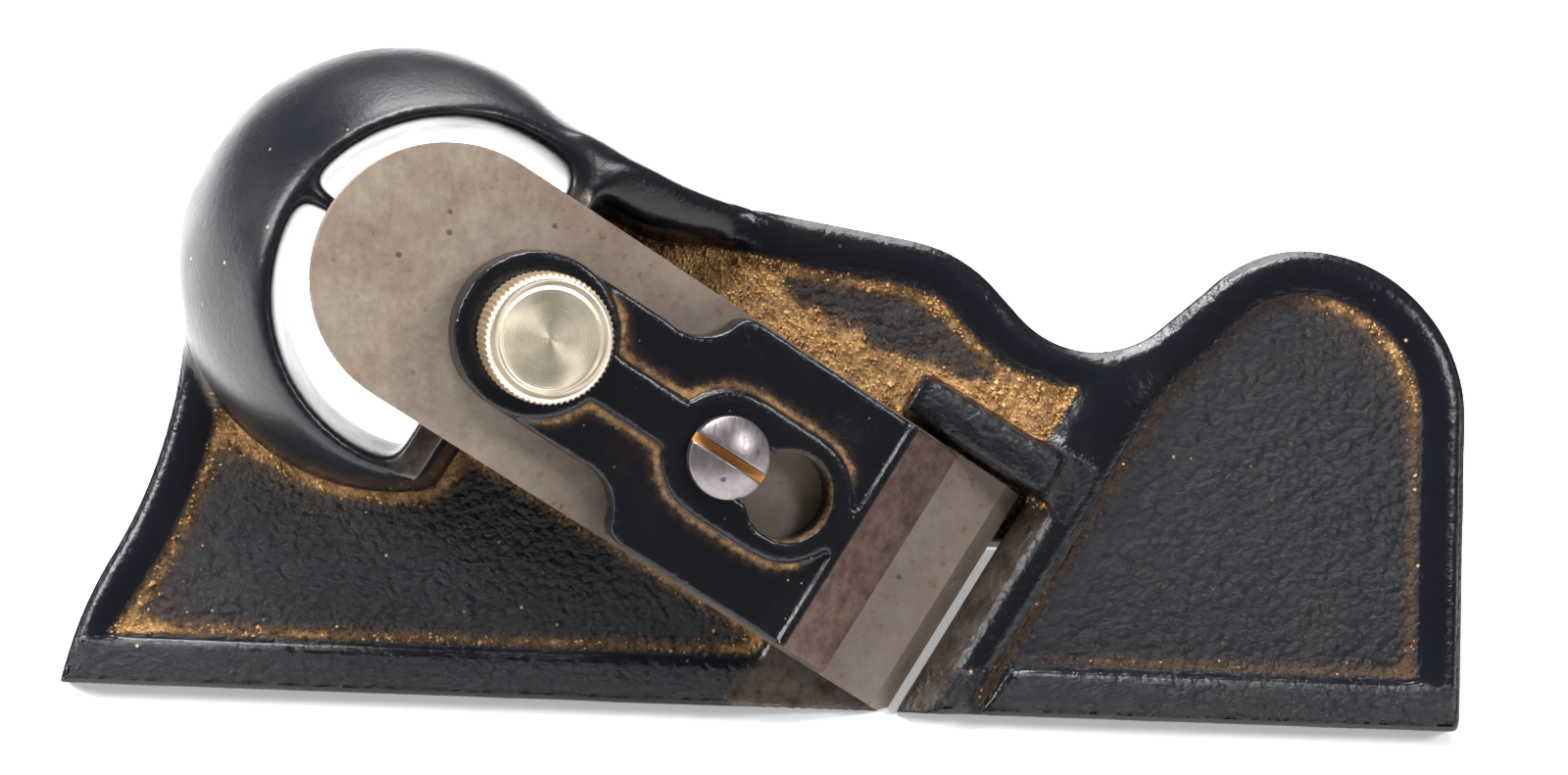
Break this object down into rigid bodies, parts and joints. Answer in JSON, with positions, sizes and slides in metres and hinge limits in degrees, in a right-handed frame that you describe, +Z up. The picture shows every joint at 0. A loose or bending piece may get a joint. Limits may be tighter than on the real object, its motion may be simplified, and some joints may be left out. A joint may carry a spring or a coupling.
{
  "type": "hand plane",
  "caption": "Edge-trimming block plane with a fenced iron body, palm ring, skewed low-angle cutter and a lever cap held by screws.",
  "frame": {"origin": "on the table, under the middle of the whole plane as it is laid down", "axes": "+X from heel to toe, +Z up; the plane leans on the free edge of its sole and the far edge of its fence, broad face towards -Y and up"},
  "size_m": [0.1524, 0.0502, 0.0622],
  "materials": {
    "japanned_iron": "black japan over cast iron, glossy, dusty in the corners",
    "tool_steel": "ground steel with light rust",
    "japanned_cap": "black japan, bare ground nose",
    "nickel": "worn nickel plate, turned top",
    "screw_steel": "bare steel, slightly tarnished"
  },
  "bodies": {
    "casting": {"plane_body": "japanned_iron"},
    "blade": {"cutter": "tool_steel"},
    "cap": {"lever_cap": "japanned_cap"},
    "thumb_stud": {"thumb_screw_stud": "screw_steel"},
    "thumb_head": {"thumb_screw_head": "nickel"},
    "cap_bolt": {"cap_screw": "screw_steel"}
  },
  "joints": [
    {"name": "cutter_slide", "type": "slide", "parent": "casting", "child": "blade", "axis": [0.8236, -0.0752, -0.5621], "range_m": [-0.0006, 0.0008]},
    {"name": "lever_cap_slide", "type": "slide", "parent": "casting", "child": "cap", "axis": [-0.8236, 0.0752, 0.5621], "range_m": [0, 0.0082]},
    {"name": "thumb_screw_travel", "type": "slide", "parent": "cap", "child": "thumb_stud", "axis": [0.2676, -0.8224, 0.5021], "range_m": [0, 0.00317]},
    {"name": "thumb_screw_turn", "type": "hinge", "parent": "thumb_stud", "child": "thumb_head", "pos_m": [-0.02433, -0.01422, 0.04421], "axis": [0.2676, -0.8224, 0.5021], "range_deg": [0, 1080]},
    {"name": "cap_screw_turn", "type": "hinge", "parent": "casting", "child": "cap_bolt", "pos_m": [-0.00448, -0.01603, 0.03066], "axis": [0.2676, -0.8224, 0.5021], "range_deg": [-20, 360]}
  ],
  "couplings": [
    {"joint": "thumb_screw_turn", "follows": "thumb_screw_travel", "rad_per_m": 5938.7}
  ]
}
